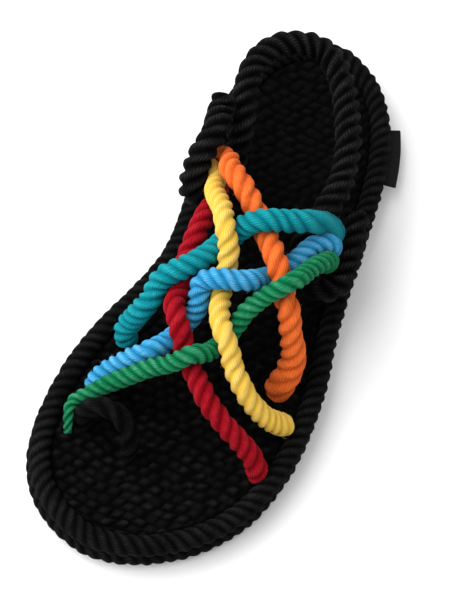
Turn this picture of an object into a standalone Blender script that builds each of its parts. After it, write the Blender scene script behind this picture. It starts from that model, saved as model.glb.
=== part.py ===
"""Rope sandal for the left foot: a woven rope sole with two rim ropes, six coloured instep ropes laced
over and under each other, a heel strap with an eye at each end, a big-toe loop and a folded tag.

Lengths are in millimetres until a mesh is made. +X points to the toe, +Y to the outer side of the foot,
+Z up, and the floor is at z = 0.
"""

import math

import bpy
import numpy as np

MM = 0.001
GAP = 0.3

# Sole: the edge of the rim ropes, one row per station from heel to toe: station, inner edge, outer edge
SOLE_SECTIONS = (
    (-127.0, -32.0, 3.5),
    (-116.0, -42.5, 15.3),
    (-100.0, -48.5, 24.4),
    (-78.0, -50.5, 31.0),
    (-50.0, -48.0, 36.0),
    (-22.0, -42.8, 40.3),
    (0.0, -40.8, 44.5),
    (22.0, -44.8, 50.0),
    (44.0, -50.4, 52.8),
    (66.0, -53.2, 52.4),
    (88.0, -52.5, 47.4),
    (106.0, -48.3, 37.4),
    (120.0, -39.4, 23.8),
    (129.5, -25.5, 8.5),
)
HEEL_TIP = (-133.5, -14.5)
TOE_TIP = (133.5, -8.5)
TOE_SPRING = 3.0
TOE_SPRING_START = 78.0

RIM_RADIUS = 4.6
RIM_STEP_IN = 0.4
RIM_LAY = 30.0

MAT_TOP = 15.5
MAT_DISH = 1.6
MAT_EDGE_ROUND = 1.2
MAT_RIB = 2.0
MAT_RIB_FOOT = 2.0
MAT_POINTS = 80
MAT_SPINE = (-89.5, 81.5)
MAT_RINGS = ((0.3, 0.6), (0.75, 1.0))

# Instep: the surface that the middle of the woven ropes follows, like the top of a foot, one row per station:
# station, centre, half width, crown height
FOOT_SECTIONS = (
    (-60.0, -6.0, 40.0, 66.0),
    (-35.0, -3.0, 41.0, 66.0),
    (-10.0, 1.0, 42.0, 64.0),
    (20.0, 3.0, 45.0, 57.0),
    (45.0, 2.0, 48.0, 47.0),
    (70.0, -1.0, 50.0, 37.0),
    (95.0, -4.0, 48.0, 30.0),
)
FOOT_FLOOR = 18.0
WEAVE_LIFT = 5.1

# Anchors: each rope goes down into a blind hole in the mat, through points at these heights
ANCHOR_FLOOR = 6.0
ANCHOR_HEIGHTS = (MAT_TOP + 1.0, MAT_TOP - 4.0, ANCHOR_FLOOR)
ANCHOR_CLEAR = 0.9
ANCHOR_SIDES = 12
ROPE_SQUEEZE = 0.74
SQUEEZE_HOLD = 10.5
SQUEEZE_LENGTH = 9.0

# Eyes: how a rope tail runs between the two legs of a folded strap end (ahead, offset, height), for a rope at
# the station named base; skew is how far the offset changes per millimetre of station from there
INNER_EYE = {
    "tail": ((-3.2, -41.0, 39.4), (0.2, -39.0, 42.3), (3.8, -36.8, 45.4)), "base": -31.2, "skew": 0.17,
}
OUTER_EYE = {
    "tail": ((0.5, 21.5, 39.5), (0.0, 21.8, 45.2), (2.3, 19.0, 52.2)), "base": -31.5, "skew": 0.35,
}

# Lacing: station, offset and lift of each rope; a positive lift passes over, a negative one under
ROPES = {
    "rope_orange": {
        "colour": (0.93, 0.44, 0.16), "radius": 4.9, "lay": 25.0, "eye": INNER_EYE, "eye_station": -44.0,
        "rows": ((-32.6, -33.4, 0.2), (-25.5, -23.8, 0.2), (-17.5, -13.0, -0.6), (-9.0, -4.0, -1.05),
                 (-3.0, 2.6, -0.3), (5.0, 9.3, 0.4), (10.5, 15.6, -0.4), (15.5, 21.0, -0.3)),
        "descent": ((20.0, 26.2, 42.5), (22.9, 30.6, 33.0), (26.6, 32.0, 26.0), (30.0, 31.6, 21.5)),
        "anchor": (31.6, 31.3), "end_radius": 4.9,
    },
    "rope_yellow": {
        "colour": (0.95, 0.82, 0.38), "radius": 4.45, "lay": 17.0, "eye": INNER_EYE, "eye_station": -31.2,
        "rows": ((-22.4, -32.4, -0.3), (-14.0, -27.0, 0.5), (-5.5, -20.0, 1.1), (2.0, -15.3, 1.3),
                 (10.2, -10.8, 0.2), (19.0, -7.6, -0.9), (26.5, -5.0, -0.4), (33.5, -1.2, 0.3),
                 (39.3, 3.2, 0.8), (46.2, 11.2, 0.2), (50.6, 17.9, 0.0)),
        "descent": ((53.0, 25.5, 36.0), (52.4, 33.5, 28.6), (49.0, 40.2, 21.8)), "anchor": (47.0, 37.6),
    },
    "rope_red": {
        "colour": (0.72, 0.10, 0.17), "radius": 4.6, "lay": 24.0, "eye": INNER_EYE, "eye_station": -33.2,
        "eye_drop": 8.4,
        "rows": ((-18.0, -30.0, -1.6), (-2.0, -28.2, -0.7), (9.0, -27.0, -1.0), (18.8, -25.1, -1.05),
                 (31.0, -21.5, 0.0), (42.0, -15.4, 0.6), (47.5, -10.3, 0.1), (51.5, -5.7, -0.5),
                 (56.0, 0.4, -0.3), (63.0, 10.1, 0.0)),
        "descent": ((67.0, 21.0, 35.0), (68.2, 29.8, 29.4), (69.4, 35.8, 23.8), (70.4, 38.6, 19.8)),
        "anchor": (71.0, 37.1),
    },
    "rope_teal": {
        "colour": (0.05, 0.60, 0.64), "radius": 4.6, "lay": 21.0, "eye": OUTER_EYE, "eye_station": -29.5,
        "rows": ((-20.5, 13.5, 0.2), (-14.5, 6.7, 0.6), (-8.3, -3.6, 0.9), (-4.8, -11.0, 0.1),
                 (2.0, -15.3, -0.6), (11.7, -18.6, 0.2), (19.6, -23.6, 0.9), (27.8, -27.8, 0.3),
                 (37.4, -32.2, 0.0)),
        "descent": ((41.6, -35.8, 26.0), (43.4, -36.4, 20.8)), "anchor": (43.6, -35.2),
    },
    "rope_blue": {
        "colour": (0.32, 0.65, 0.92), "radius": 4.2, "lay": 19.0, "eye": OUTER_EYE, "eye_station": -22.6,
        "rows": ((-13.0, 18.2, -1.2), (-4.0, 13.6, -1.5), (5.0, 9.3, -1.55), (13.0, 4.2, 0.0),
                 (18.0, -1.3, 0.8), (20.2, -7.2, 1.0), (22.3, -14.1, 0.5), (27.8, -15.8, -0.1),
                 (34.4, -14.6, -1.0), (42.0, -15.4, -1.4), (48.5, -17.8, -0.8), (55.0, -22.5, -0.2)),
        "descent": ((60.7, -29.5, 31.0), (65.5, -35.0, 23.0)), "anchor": (68.0, -36.8),
    },
    "rope_green": {
        "colour": (0.06, 0.55, 0.33), "radius": 3.65, "lay": 16.5, "eye": OUTER_EYE, "eye_station": -16.3,
        "rows": ((-6.6, 23.2, 0.3), (3.4, 19.5, 1.0), (10.5, 15.6, 1.3), (17.0, 11.0, 0.5),
                 (25.1, 6.6, -0.2), (32.0, 4.6, -0.7), (39.3, 3.2, -0.9), (47.4, 0.0, 0.4),
                 (51.9, -4.9, 1.25), (57.6, -11.4, 0.7), (61.5, -17.6, 0.4)),
        "descent": ((68.6, -26.8, 33.5), (76.5, -34.8, 27.5), (82.5, -38.9, 23.5), (88.5, -38.7, 20.5)),
        "anchor": (92.0, -37.4), "end_radius": 1.7, "end_taper": 24.0,
    },
}

# Heel strap: the rope's middle line, from the cut end at the inner eye to the cut end at the outer eye
STRAP_RADIUS = 5.8
STRAP_LAY = 28.0
STRAP_ROUTE = (
    (-61.1, -45.4, 54.7), (-53.5, -44.1, 52.2), (-40.0, -41.4, 54.8), (-29.0, -42.0, 51.5),
    (-20.5, -39.6, 40.2), (-28.5, -34.0, 27.8), (-37.4, -30.7, 27.9), (-47.9, -31.4, 36.6),
    (-59.1, -35.2, 44.1), (-72.7, -40.3, 47.6), (-85.0, -41.8, 49.0), (-96.0, -37.4, 50.0),
    (-103.0, -28.5, 50.0), (-104.4, -18.0, 50.0), (-97.5, -8.0, 50.0), (-87.0, 0.0, 50.0), (-70.0, 9.4, 49.5),
    (-56.0, 14.0, 47.8), (-47.0, 15.2, 46.5), (-38.0, 14.6, 44.8), (-29.5, 12.4, 41.2), (-20.0, 13.6, 38.5),
    (-12.0, 19.5, 36.5), (-7.5, 27.0, 36.0), (-13.0, 33.5, 37.2), (-23.0, 32.8, 38.8), (-34.0, 30.6, 39.9),
    (-46.0, 26.8, 41.2),
)

# Toe loop: an arch over the big toe with both feet in the mat
LOOP_RADIUS = 4.2
LOOP_LAY = 20.0
LOOP_ARCH = ((86.0, -33.2, 22.0), (85.6, -33.0, 29.0), (84.6, -28.6, 36.0), (84.4, -21.8, 38.0),
             (86.2, -15.0, 34.5), (88.8, -11.2, 26.0))
LOOP_FEET = ((86.2, -32.4), (90.2, -10.4))

# Settling: ropes that would touch are pressed apart until they clear each other
SETTLE_STEP = 2.0
SETTLE_ROUNDS = 900
SETTLE_SPREAD = 4
SETTLE_PINNED = 12.0
SETTLE_PUSH = 0.4
SETTLE_CLOSE = 0.02

# Tag: a folded ribbon whose root sits in the groove between the rim ropes
TAG_STATION = -95.0
TAG_LENGTH = 26.0
TAG_REACH = 5.2
TAG_ROOT = 1.7
TAG_THICK = 1.4
TAG_ROWS = 7
TAG_FOLD_POINTS = 5

BLACK_MAT = (0.058, 0.058, 0.062)
BLACK_ROPE = (0.070, 0.070, 0.074)
BLACK_TAG = (0.085, 0.083, 0.083)
LAY_SECTIONS = 8
RIM_SECTIONS = 7
STRANDS = 3
STRAND_VALLEY = 0.84
PATH_STEP = 0.5
CURVE_POINTS = 60
SHARP_ANGLE = 50.0
ROPE_ROUGHNESS = 0.9
DYED_ROUGHNESS = 0.85
MAT_ROUGHNESS = 0.95
TAG_ROUGHNESS = 0.7


def clear_scene():
    """Remove whatever the file already holds."""
    for item in list(bpy.data.objects):
        bpy.data.objects.remove(item, do_unlink=True)


def linear(colour):
    """A display colour as the scene-linear RGBA that a material takes."""
    values = [c / 12.92 if c <= 0.04045 else ((c + 0.055) / 1.055) ** 2.4 for c in colour]
    return (*values, 1.0)


def make_material(name, colour, roughness):
    """A Principled material of one colour."""
    material = bpy.data.materials.new(name)
    material.use_nodes = True
    shader = material.node_tree.nodes["Principled BSDF"]
    shader.inputs["Base Color"].default_value = linear(colour)
    shader.inputs["Roughness"].default_value = roughness
    shader.inputs["Metallic"].default_value = 0.0
    return material


def make_object(name, points, faces, material=None):
    """A mesh object from points in millimetres."""
    mesh = bpy.data.meshes.new(name)
    mesh.from_pydata((np.asarray(points) * MM).tolist(), [], faces)
    mesh.update()
    mesh.shade_smooth()
    mesh.set_sharp_from_angle(angle=math.radians(SHARP_ANGLE))
    if material:
        mesh.materials.append(material)
    item = bpy.data.objects.new(name, mesh)
    bpy.context.collection.objects.link(item)
    return item


def smooth_path(points, closed=False):
    """Points every PATH_STEP along a Catmull-Rom curve through the given points."""
    points = np.asarray(points, dtype=float)
    if closed:
        knots = np.vstack([points[-1], points, points[0], points[1]])
    else:
        knots = np.vstack([2 * points[0] - points[1], points, 2 * points[-1] - points[-2]])
    share = np.linspace(0.0, 1.0, CURVE_POINTS, endpoint=False)[:, None]
    runs = []
    for before, start, end, after in zip(knots, knots[1:], knots[2:], knots[3:]):
        runs.append(0.5 * (2 * start + (end - before) * share
                           + (2 * before - 5 * start + 4 * end - after) * share ** 2
                           + (3 * start - before - 3 * end + after) * share ** 3))
    curve = np.vstack(runs + [knots[-2][None, :]])
    along = np.concatenate([[0.0], np.cumsum(np.linalg.norm(np.diff(curve, axis=0), axis=1))])
    count = max(2, round(along[-1] / PATH_STEP))
    even = np.linspace(0.0, along[-1], count + 1)
    path = np.stack([np.interp(even, along, curve[:, axis]) for axis in range(curve.shape[1])], axis=1)
    return path[:-1] if closed else path


def path_length(path, closed=False):
    """Length along a path."""
    ring = np.vstack([path, path[:1]]) if closed else path
    return np.linalg.norm(np.diff(ring, axis=0), axis=1).sum()


def take_evenly(path, count, closed=False):
    """Points at equal steps along a path; a closed path doesn't repeat its first point."""
    ring = np.vstack([path, path[:1]]) if closed else path
    along = np.concatenate([[0.0], np.cumsum(np.linalg.norm(np.diff(ring, axis=0), axis=1))])
    even = np.linspace(0.0, along[-1], count, endpoint=not closed)
    return np.stack([np.interp(even, along, ring[:, axis]) for axis in range(ring.shape[1])], axis=1)


def path_tangents(path, closed):
    """Unit directions along a path."""
    if closed:
        steps = np.roll(path, -1, axis=0) - np.roll(path, 1, axis=0)
    else:
        steps = np.gradient(path, axis=0)
    return steps / np.linalg.norm(steps, axis=1)[:, None]


def carried_normals(tangents):
    """A normal at each point, carried along the path without turning about it."""
    aside = np.cross(tangents[0], (0.0, 0.0, 1.0))
    if np.linalg.norm(aside) < 0.1:
        aside = np.cross(tangents[0], (0.0, 1.0, 0.0))
    normals = [aside / np.linalg.norm(aside)]
    for tangent in tangents[1:]:
        turned = normals[-1] - tangent * np.dot(normals[-1], tangent)
        normals.append(turned / np.linalg.norm(turned))
    return np.array(normals)


def rope_solid(path, lay, radius_at, closed=False):
    """A laid rope: a section with one lobe per strand, turned once in each lay length along the path."""
    length = path_length(path, closed)
    turns = round(length / lay) if closed else length / lay
    count = turns * RIM_SECTIONS if closed else math.ceil(turns * LAY_SECTIONS) + 1
    middle = take_evenly(path, count, closed)
    tangents = path_tangents(middle, closed)
    if closed:
        normals = np.cross((0.0, 0.0, 1.0), tangents)
        normals /= np.linalg.norm(normals, axis=1)[:, None]
    else:
        normals = carried_normals(tangents)
    sides = np.cross(tangents, normals)
    share = np.arange(count) / (count if closed else count - 1)
    corners = 2 * STRANDS
    angle = 2 * np.pi * (turns * share[:, None] + np.arange(corners)[None, :] / corners)
    lobe = np.where(np.arange(corners) % 2 == 0, 1.0, STRAND_VALLEY)
    reach = radius_at(share * length, length)[:, None] * lobe[None, :]
    ring = (middle[:, None, :] + (reach * np.cos(angle))[:, :, None] * normals[:, None, :]
            + (reach * np.sin(angle))[:, :, None] * sides[:, None, :])
    points = ring.reshape(-1, 3)
    faces = []
    for row in range(count if closed else count - 1):
        after = (row + 1) % count
        for corner in range(corners):
            beside = (corner + 1) % corners
            faces.append((row * corners + corner, row * corners + beside,
                          after * corners + beside, after * corners + corner))
    if not closed:
        faces.append(tuple(range(corners))[::-1])
        faces.append(tuple((count - 1) * corners + corner for corner in range(corners)))
    return points, faces


def sole_outline(inset):
    """The closed outline of the sole, seen from above and moved inwards, counter-clockwise."""
    rows = np.array(SOLE_SECTIONS)
    outer = rows[:, (0, 2)][::-1]
    inner = rows[:, (0, 1)]
    edge = smooth_path(np.vstack([TOE_TIP, outer, HEEL_TIP, inner]), closed=True)
    along = path_tangents(edge, closed=True)
    inward = np.stack([-along[:, 1], along[:, 0]], axis=1)
    return edge + inset * inward


def toe_lift(station):
    """How far the sole curls up from the floor towards the toe."""
    share = np.clip((station - TOE_SPRING_START) / (TOE_TIP[0] - TOE_SPRING_START), 0.0, 1.0)
    return TOE_SPRING * share ** 2


def instep_height(station, offset):
    """Height of the instep surface: an ellipse across each foot section."""
    rows = np.array(FOOT_SECTIONS)
    centre, half_width, crown = (np.interp(station, rows[:, 0], rows[:, column]) for column in (1, 2, 3))
    across = np.clip((offset - centre) / half_width, -1.0, 1.0)
    return FOOT_FLOOR + (crown - FOOT_FLOOR) * math.sqrt(1.0 - across ** 2)


def full_radius(radius):
    """The same radius all along a rope."""
    return lambda along, length: np.full_like(along, radius)


def end_share(distance, taper):
    """0 in the squeezed end of a rope, rising to 1 over the taper beyond it."""
    return np.clip((distance - SQUEEZE_HOLD) / taper, 0.0, 1.0)


def squeezed_ends(radius, end_radius, end_taper):
    """A rope that is squeezed at its tail in the eye and narrows to end_radius in its anchor."""
    def at(along, length):
        tail = ROPE_SQUEEZE + (1.0 - ROPE_SQUEEZE) * end_share(along, SQUEEZE_LENGTH)
        anchor = end_radius + (radius - end_radius) * end_share(length - along, end_taper)
        return np.minimum(radius * tail, anchor)
    return at


def add_rim_rope(name, inset, height, material):
    """A rope laid round the edge of the mat, spliced into a ring."""
    outline = sole_outline(inset + RIM_RADIUS)
    path = np.column_stack([outline, height + toe_lift(outline[:, 0])])
    points, faces = rope_solid(path, RIM_LAY, full_radius(RIM_RADIUS), closed=True)
    make_object(name, points, faces, material)


def rim_heights():
    """Heights of the middle of the lower and the upper rim rope, the upper one lying on the lower."""
    apart = 2 * RIM_RADIUS + GAP
    return RIM_RADIUS, RIM_RADIUS + math.sqrt(apart ** 2 - RIM_STEP_IN ** 2)


def anchor_ends():
    """The place and rope radius of every blind hole in the mat."""
    ends = []
    for rope in ROPES.values():
        ends.append((rope["anchor"], rope.get("end_radius", rope["radius"] * ROPE_SQUEEZE)))
    ends += [(foot, LOOP_RADIUS * ROPE_SQUEEZE) for foot in LOOP_FEET]
    return ends


def cap_strips(first):
    """Faces that close a ring of the mat, in strips from side to side, so that level stretches stay flat."""
    half = MAT_POINTS // 2
    strips = [(first + half - 1, first + half, first + half + 1)]
    for spot in range(1, half - 1):
        across = first + MAT_POINTS - spot
        strips.append((first + spot, first + spot + 1, across - 1, across))
    return [(first, first + 1, first + MAT_POINTS - 1)] + strips


def add_sole_mat(material):
    """The woven body of the sole, flat below, dished on top, with a blind hole for each rope end."""
    wall = RIM_STEP_IN + 2 * RIM_RADIUS + GAP
    low, high = rim_heights()
    station, inner, outer = np.array(SOLE_SECTIONS).T
    edge = take_evenly(sole_outline(wall), MAT_POINTS, closed=True)
    spine_x = np.clip(edge[:, 0], *MAT_SPINE)
    spine_y = np.interp(spine_x, station, (inner + outer) / 2)
    to_spine = np.stack([spine_x, spine_y], axis=1) - edge
    width = np.linalg.norm(to_spine, axis=1)
    rings = [(MAT_EDGE_ROUND / width, 0.0), (0.0, MAT_EDGE_ROUND), (0.0, low + MAT_RIB_FOOT),
             (-MAT_RIB / width, (low + high) / 2), (0.0, high - MAT_RIB_FOOT),
             (0.0, MAT_TOP - MAT_EDGE_ROUND), (MAT_EDGE_ROUND / width, MAT_TOP)]
    rings += [(share, MAT_TOP - depth * MAT_DISH) for share, depth in MAT_RINGS]
    points = []
    for share, height in rings:
        ring = edge + np.reshape(np.broadcast_to(share, MAT_POINTS), (-1, 1)) * to_spine
        points.append(np.column_stack([ring, height + toe_lift(ring[:, 0])]))
    faces = [strip[::-1] for strip in cap_strips(0)] + cap_strips((len(rings) - 1) * MAT_POINTS)
    for ring in range(len(rings) - 1):
        for spot in range(MAT_POINTS):
            beside = (spot + 1) % MAT_POINTS
            below, above = ring * MAT_POINTS, (ring + 1) * MAT_POINTS
            faces.append((below + spot, below + beside, above + beside, above + spot))
    mat = make_object("sole_mat", np.vstack(points), faces, material)
    for index, (place, radius) in enumerate(anchor_ends()):
        cutter = add_hole_cutter("anchor_cutter_%d" % index, place, radius + ANCHOR_CLEAR)
        cut = mat.modifiers.new(cutter.name, "BOOLEAN")
        cut.operation = "DIFFERENCE"
        cut.solver = "EXACT"
        cut.object = cutter


def add_hole_cutter(name, place, radius):
    """An upright prism that cuts one blind hole."""
    turn = 2 * np.pi * np.arange(ANCHOR_SIDES) / ANCHOR_SIDES
    ring = np.column_stack([place[0] + radius * np.cos(turn), place[1] + radius * np.sin(turn)])
    points = [(x, y, z) for z in (ANCHOR_FLOOR - 2 * GAP, 2 * MAT_TOP) for x, y in ring]
    faces = [tuple(range(ANCHOR_SIDES))[::-1], tuple(range(ANCHOR_SIDES, 2 * ANCHOR_SIDES))]
    for spot in range(ANCHOR_SIDES):
        beside = (spot + 1) % ANCHOR_SIDES
        faces.append((spot, beside, ANCHOR_SIDES + beside, ANCHOR_SIDES + spot))
    cutter = make_object(name, points, faces)
    cutter.hide_render = True
    cutter.display_type = "WIRE"
    return cutter


def rope_route(rope):
    """Tail through the eye, lacing over the instep, then down into the anchor."""
    eye = rope["eye"]
    lean = eye["skew"] * (rope["eye_station"] - eye["base"])
    drop = rope.get("eye_drop", 0.0)
    tail = [(rope["eye_station"] + ahead, offset + lean, height - drop)
            for ahead, offset, height in eye["tail"]]
    lacing = [(station, offset, instep_height(station, offset) + lift * WEAVE_LIFT)
              for station, offset, lift in rope["rows"]]
    foot = [(*rope["anchor"], height) for height in ANCHOR_HEIGHTS]
    return tail + lacing + list(rope["descent"]) + foot


def loop_route():
    """Up from one foot in the mat, over the toe and down into the other."""
    first, last = LOOP_FEET
    return [*((*first, height) for height in ANCHOR_HEIGHTS[::-1]), *LOOP_ARCH,
            *((*last, height) for height in ANCHOR_HEIGHTS)]


def loop_radius():
    """The toe loop is squeezed at both feet."""
    return squeezed_ends(LOOP_RADIUS, LOOP_RADIUS * ROPE_SQUEEZE, SQUEEZE_LENGTH)


def rope_radius(rope):
    """How the radius of a coloured rope runs from its tail to its anchor."""
    end_radius = rope.get("end_radius", rope["radius"] * ROPE_SQUEEZE)
    return squeezed_ends(rope["radius"], end_radius, rope.get("end_taper", SQUEEZE_LENGTH))


def settled_paths():
    """The middle lines of the coloured ropes, pushed apart, a little at a time, until no two ropes are
    closer than their radii and the gap. The strap and the toe loop stay where they are."""
    routes = {name: (smooth_path(rope_route(rope)), rope_radius(rope)) for name, rope in ROPES.items()}
    routes["heel_strap"] = (smooth_path(STRAP_ROUTE), full_radius(STRAP_RADIUS))
    routes["toe_loop"] = (smooth_path(loop_route()), loop_radius())
    spots, radii, owner, free = [], [], [], []
    for index, (name, (path, radius_at)) in enumerate(routes.items()):
        length = path_length(path)
        count = round(length / SETTLE_STEP) + 1
        along = np.linspace(0.0, length, count)
        spots.append(take_evenly(path, count))
        radii.append(radius_at(along, length))
        owner.append(np.full(count, index))
        free.append(np.clip((length - along) / SETTLE_PINNED - 1.0, 0.0, 1.0) * (name in ROPES))
    spots, radii, owner, free = np.vstack(spots), np.hstack(radii), np.hstack(owner), np.hstack(free)
    need = radii[:, None] + radii[None, :] + GAP
    apart = np.linalg.norm(spots[:, None] - spots[None, :], axis=2)
    one, other = np.nonzero((owner[:, None] != owner[None, :]) & (apart < need + 4 * SETTLE_STEP))
    need = need[one, other]
    share = free[one] / np.maximum(free[one] + free[other], 1e-6)
    spread = np.hanning(2 * SETTLE_SPREAD + 3)[1:-1]
    spread /= spread.max()
    for _ in range(SETTLE_ROUNDS):
        between = spots[one] - spots[other]
        apart = np.linalg.norm(between, axis=1)
        close = np.clip(need - apart, 0.0, None)
        if close.max() < SETTLE_CLOSE:
            break
        push = np.zeros_like(spots)
        touches = np.zeros(len(spots))
        np.add.at(push, one, between / apart[:, None] * (close * share)[:, None])
        np.add.at(touches, one, close > 0)
        push /= np.maximum(touches, 1.0)[:, None]
        for index in range(len(routes)):
            mine = owner == index
            smooth = np.stack([np.convolve(push[mine, axis], spread, "same") for axis in range(3)], axis=1)
            spots[mine] += SETTLE_PUSH * smooth * free[mine][:, None]
    return {name: spots[owner == index] for index, name in enumerate(routes) if name in ROPES}


def add_instep_ropes():
    """The six coloured ropes that make the upper."""
    for name, path in settled_paths().items():
        rope = ROPES[name]
        points, faces = rope_solid(smooth_path(path), rope["lay"], rope_radius(rope))
        make_object(name, points, faces, make_material(name, rope["colour"], DYED_ROUGHNESS))


def add_heel_strap(material):
    """The black rope round the heel, folded back at both ends into an eye."""
    points, faces = rope_solid(smooth_path(STRAP_ROUTE), STRAP_LAY, full_radius(STRAP_RADIUS))
    make_object("heel_strap", points, faces, material)


def add_toe_loop(material):
    """The black rope over the big toe, with both ends in the mat."""
    points, faces = rope_solid(smooth_path(loop_route()), LOOP_LAY, loop_radius())
    make_object("toe_loop", points, faces, material)


def add_tag(material):
    """A ribbon folded in two along its outer edge, lying flat in the groove between the rim ropes."""
    low, high = rim_heights()
    edge = sole_outline(0.0)
    outer_side = edge[edge[:, 1] > np.mean(edge[:, 1])]
    along = np.linspace(-0.5, 0.5, TAG_ROWS) * TAG_LENGTH
    order = np.argsort(outer_side[:, 0])
    root_y = np.interp(TAG_STATION + along, outer_side[order, 0], outer_side[order, 1])
    slope = np.gradient(root_y, along)
    outward = np.stack([-slope, np.ones_like(slope)], axis=1)
    outward /= np.linalg.norm(outward, axis=1)[:, None]
    half = TAG_THICK / 2
    fold = np.linspace(-np.pi / 2, np.pi / 2, TAG_FOLD_POINTS)
    profile = [(-TAG_ROOT, -half)]
    profile += [(TAG_REACH - half + half * math.cos(turn), half * math.sin(turn)) for turn in fold]
    profile.append((-TAG_ROOT, half))
    height = (low + high) / 2
    points = []
    for station, y, direction in zip(TAG_STATION + along, root_y, outward):
        points += [(station + reach * direction[0], y + reach * direction[1], height + up)
                   for reach, up in profile]
    size = len(profile)
    faces = []
    for row in range(len(along) - 1):
        for spot in range(size):
            beside = (spot + 1) % size
            here, there = row * size, (row + 1) * size
            faces.append((here + spot, here + beside, there + beside, there + spot))
    faces.append(tuple(range(size))[::-1])
    faces.append(tuple((len(along) - 1) * size + spot for spot in range(size)))
    make_object("tag", points, faces, material)


clear_scene()
low_rim, high_rim = rim_heights()
add_sole_mat(make_material("sole_mat", BLACK_MAT, MAT_ROUGHNESS))
for rim_name, rim_inset, rim_height in (("rim_rope_lower", 0.0, low_rim),
                                        ("rim_rope_upper", RIM_STEP_IN, high_rim)):
    add_rim_rope(rim_name, rim_inset, rim_height, make_material(rim_name, BLACK_ROPE, ROPE_ROUGHNESS))
add_instep_ropes()
add_heel_strap(make_material("heel_strap", BLACK_ROPE, ROPE_ROUGHNESS))
add_toe_loop(make_material("toe_loop", BLACK_ROPE, ROPE_ROUGHNESS))
add_tag(make_material("tag", BLACK_TAG, TAG_ROUGHNESS))
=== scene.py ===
"""The looks of a rope sandal for the left foot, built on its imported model.

Tables of sizes are in millimetres; meshes are in metres, in the model's own frame: +X to the toe, +Y to the
outer side of the foot, +Z up, floor at z = 0.
"""

import bmesh
import bpy
import numpy as np
from mathutils import Matrix


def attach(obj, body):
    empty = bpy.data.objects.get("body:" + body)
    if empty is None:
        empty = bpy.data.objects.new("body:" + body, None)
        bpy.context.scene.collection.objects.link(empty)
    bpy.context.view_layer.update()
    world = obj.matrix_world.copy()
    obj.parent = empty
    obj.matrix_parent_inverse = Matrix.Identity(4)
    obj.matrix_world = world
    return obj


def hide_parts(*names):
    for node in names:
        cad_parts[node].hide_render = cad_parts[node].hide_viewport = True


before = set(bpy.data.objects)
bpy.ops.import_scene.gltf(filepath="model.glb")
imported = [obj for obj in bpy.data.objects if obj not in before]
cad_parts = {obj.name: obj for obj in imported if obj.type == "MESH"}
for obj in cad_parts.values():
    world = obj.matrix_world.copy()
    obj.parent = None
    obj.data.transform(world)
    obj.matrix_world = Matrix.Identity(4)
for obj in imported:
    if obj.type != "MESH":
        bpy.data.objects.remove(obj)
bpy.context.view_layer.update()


# Studio
# A plain white floor under an even white sky, with one wide soft lamp on the inner side of the shoe, and the
# camera high in front of the toe, turned so that the heel is at the upper right.
FLOOR_HALF = 4.0
FLOOR_WHITE = (0.82, 0.82, 0.82, 1.0)
FLOOR_ROUGHNESS = 0.9
SKY_WHITE = (1.0, 1.0, 1.0, 1.0)
SKY_STRENGTH = 0.87
LAMP_PLACE = np.array((0.45, -1.35, 1.40))
LAMP_AIM = np.zeros(3)
LAMP_RIGHT = np.array((1.0, 0.0, 0.0))
LAMP_SIZE = 2.6
LAMP_POWER = 86.0
CAMERA_PLACE = np.array((0.4229, 0.0635, 0.8875))
CAMERA_AIM = np.array((0.0091, -0.0062, 0.0200))
CAMERA_RIGHT = np.array((-0.4383, 0.8882, 0.1377))
CAMERA_LENS = 136.6
CAMERA_SIGHT = 20.0


def facing(place, aim, right):
    """The matrix of a camera or lamp at place that looks along its own -Z at aim, with its +X along right."""
    back = (place - aim) / np.linalg.norm(place - aim)
    right = right - back * np.dot(right, back)
    right /= np.linalg.norm(right)
    axes = np.stack([right, np.cross(back, right), back, place], axis=1)
    return Matrix(np.vstack([axes, (0.0, 0.0, 0.0, 1.0)]).tolist())


def plain_material(name, colour, roughness):
    """A Principled material with one colour, and its shader."""
    material = bpy.data.materials.new(name)
    material.use_nodes = True
    shader = material.node_tree.nodes["Principled BSDF"]
    shader.inputs["Base Color"].default_value = colour
    shader.inputs["Roughness"].default_value = roughness
    return material, shader


floor_mesh = bpy.data.meshes.new("floor")
floor_signs = ((-1, -1), (1, -1), (1, 1), (-1, 1))
floor_corners = [(x * FLOOR_HALF, y * FLOOR_HALF, 0.0) for x, y in floor_signs]
floor_mesh.from_pydata(floor_corners, [], [(0, 1, 2, 3)])
floor_mesh.materials.append(plain_material("white_floor", FLOOR_WHITE, FLOOR_ROUGHNESS)[0])
floor = bpy.data.objects.new("floor", floor_mesh)
bpy.context.collection.objects.link(floor)

sky = bpy.data.worlds.new("studio_sky")
sky.use_nodes = True
sky_shader = sky.node_tree.nodes["Background"]
sky_shader.inputs["Color"].default_value = SKY_WHITE
sky_shader.inputs["Strength"].default_value = SKY_STRENGTH
bpy.context.scene.world = sky
bpy.context.scene.view_settings.view_transform = "Standard"

lamp_data = bpy.data.lights.new("soft_lamp", "AREA")
lamp_data.size = LAMP_SIZE
lamp_data.energy = LAMP_POWER
lamp = bpy.data.objects.new("soft_lamp", lamp_data)
lamp.matrix_world = facing(LAMP_PLACE, LAMP_AIM, LAMP_RIGHT)
bpy.context.collection.objects.link(lamp)

camera_data = bpy.data.cameras.new("camera")
camera_data.lens = CAMERA_LENS
camera_data.clip_end = CAMERA_SIGHT
camera = bpy.data.objects.new("camera", camera_data)
camera.matrix_world = facing(CAMERA_PLACE, CAMERA_AIM, CAMERA_RIGHT)
bpy.context.collection.objects.link(camera)
bpy.context.scene.camera = camera


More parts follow.
